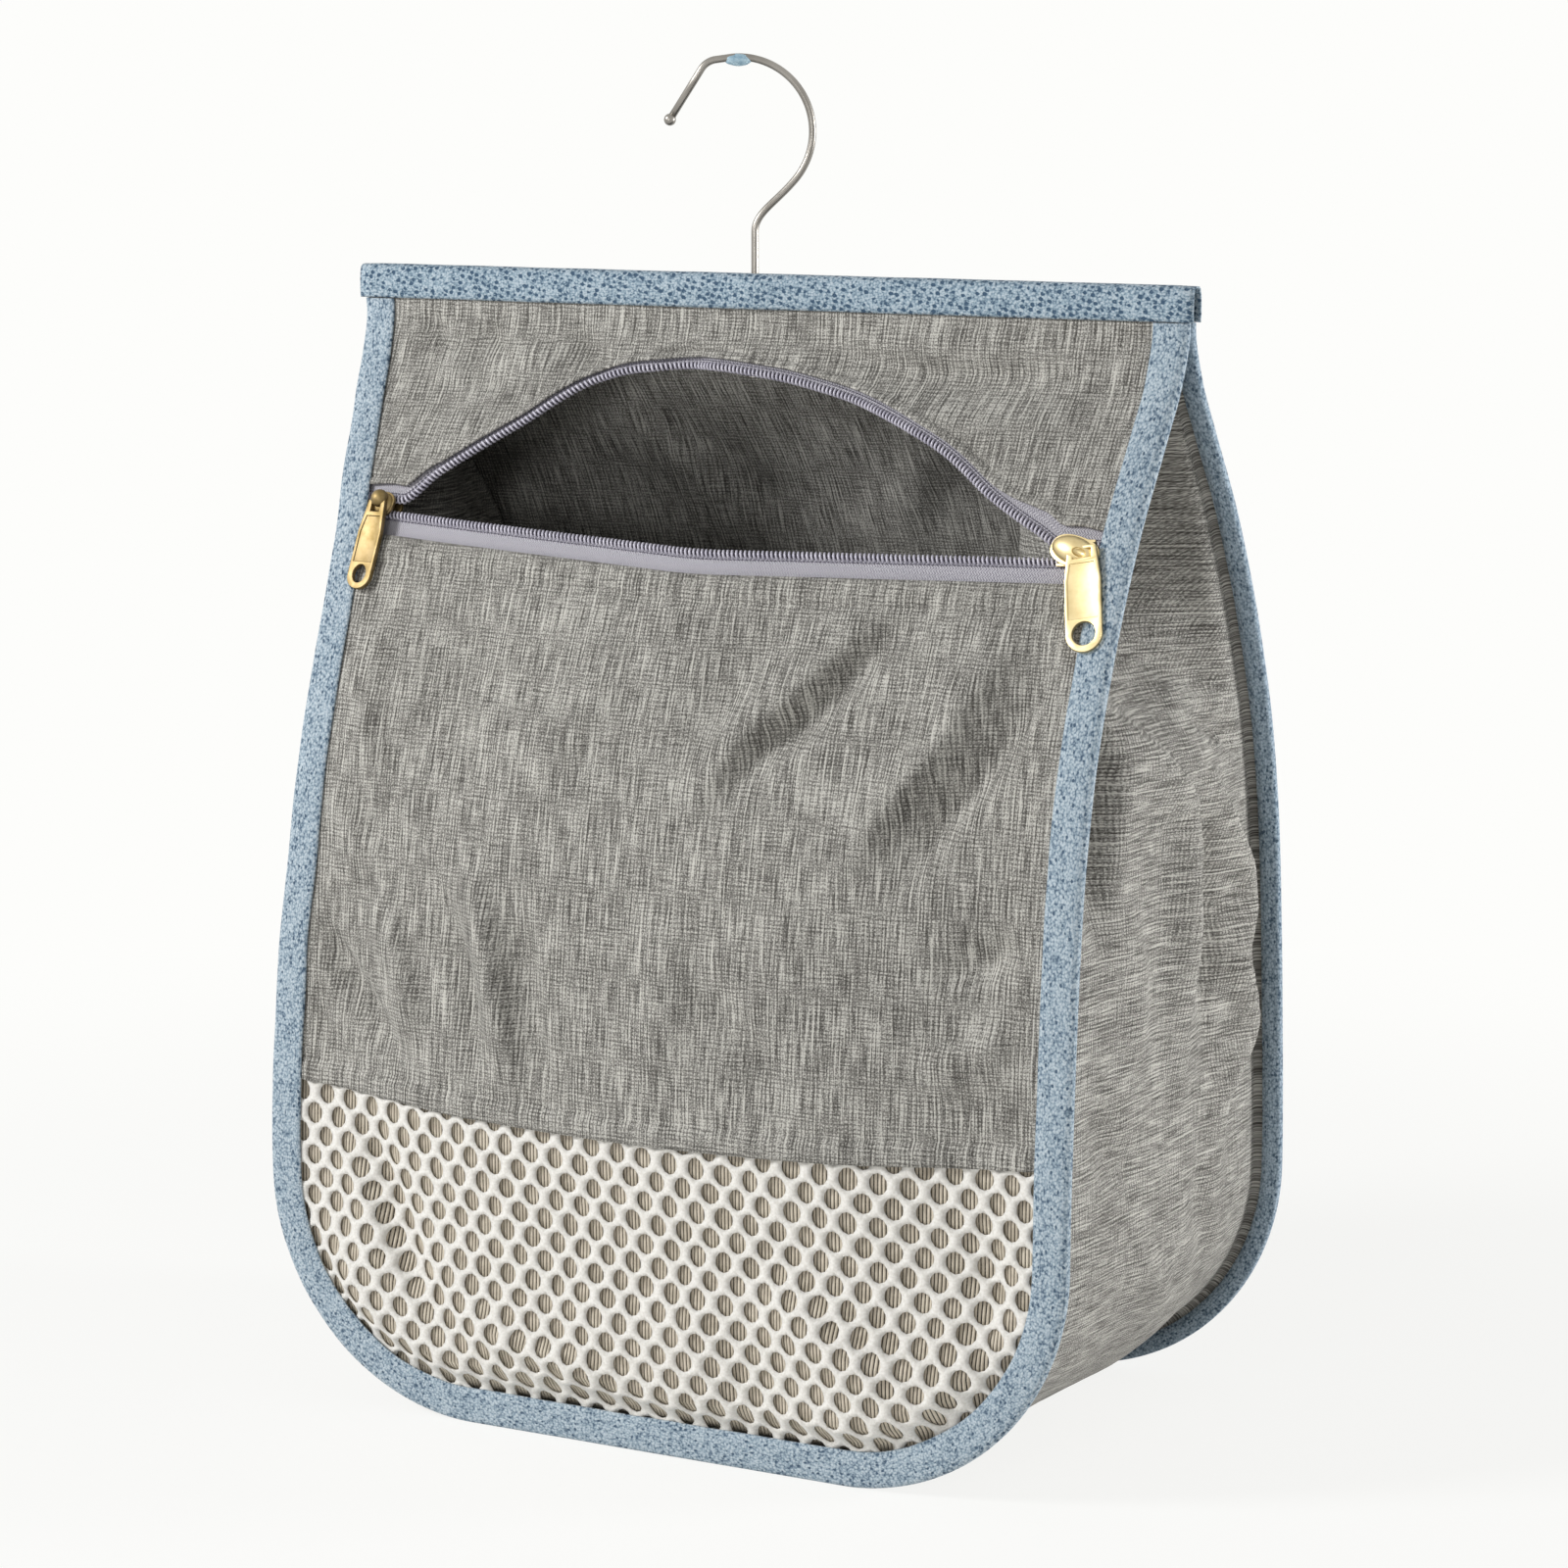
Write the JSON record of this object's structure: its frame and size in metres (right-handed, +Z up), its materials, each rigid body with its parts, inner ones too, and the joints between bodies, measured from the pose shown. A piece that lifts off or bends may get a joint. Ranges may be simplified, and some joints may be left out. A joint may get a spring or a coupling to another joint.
{
  "type": "peg bag",
  "caption": "Hanging cloth peg bag with a zipped mouth, a net panel low on the front, bound edges, brass zip pulls and a wire hook that swivels.",
  "frame": {"origin": "on the surface the bag stands on, under the middle of its width and depth", "axes": "+Z up, the front with the zip and the net faces -Y, +X to the right of someone facing the front"},
  "size_m": [0.284, 0.1695, 0.4076],
  "materials": {
    "heather_cloth": "matt woven polyester in a grey heather",
    "binding_tape": "matt knitted tape, dusty blue",
    "net": "knitted white polyester net",
    "sheer_lining": "thin ribbed sheer cloth",
    "zip_tape": "twill-woven tape, lavender grey",
    "zip_coil": "moulded nylon coil with a pearly lilac sheen",
    "brass": "polished antique brass plating on a die-cast body",
    "steel_wire": "drawn steel wire, satin",
    "inner_nylon": "moulded nylon, natural",
    "hook_sleeve": "pale blue soft sleeve, matt"
  },
  "bodies": {
    "root": {"back_panel": "heather_cloth", "front_top_panel": "heather_cloth", "front_middle_panel": "heather_cloth", "mesh_panel": "net", "mesh_lining": "sheer_lining", "side_gusset": "heather_cloth", "front_binding": "binding_tape", "back_binding": "binding_tape", "top_binding": "binding_tape", "zip_tape_lower": "zip_tape", "zip_tape_upper": "zip_tape", "zip_coil_lower": "zip_coil", "zip_coil_upper": "zip_coil", "hanger_bar": "inner_nylon", "swivel_bush": "inner_nylon"},
    "hook": {"hook_wire": "steel_wire", "hook_sleeve": "hook_sleeve", "swivel_washer": "steel_wire", "hook_collar": "steel_wire"},
    "left_slider": {"zip_slider_left": "brass"},
    "left_pull": {"zip_pull_left": "brass"},
    "right_slider": {"zip_slider_right": "brass"},
    "right_pull": {"zip_pull_right": "brass"}
  },
  "joints": [
    {"name": "hook_swivel", "type": "hinge", "parent": "root", "child": "hook", "pos_m": [-0.002, 0, 0.342], "axis": [0, 0, 1], "continuous": true},
    {"name": "left_slider_slide", "type": "slide", "parent": "root", "child": "left_slider", "axis": [0.9953, -0.0879, -0.0414], "range_m": [0, 0.095], "deforming": ["zip_tape_upper", "zip_coil_upper"]},
    {"name": "left_pull_swing", "type": "hinge", "parent": "left_slider", "child": "left_pull", "pos_m": [-0.11146, -0.03917, 0.27241], "axis": [-0.998, 0.0635, -0.0048], "range_deg": [0, 150]},
    {"name": "right_slider_slide", "type": "slide", "parent": "root", "child": "right_slider", "axis": [-0.9968, -0.0763, -0.023], "range_m": [0, 0.095]},
    {"name": "right_pull_swing", "type": "hinge", "parent": "right_slider", "child": "right_pull", "pos_m": [0.12311, -0.04041, 0.27027], "axis": [-0.9429, -0.2003, -0.2663], "range_deg": [0, 150]}
  ]
}
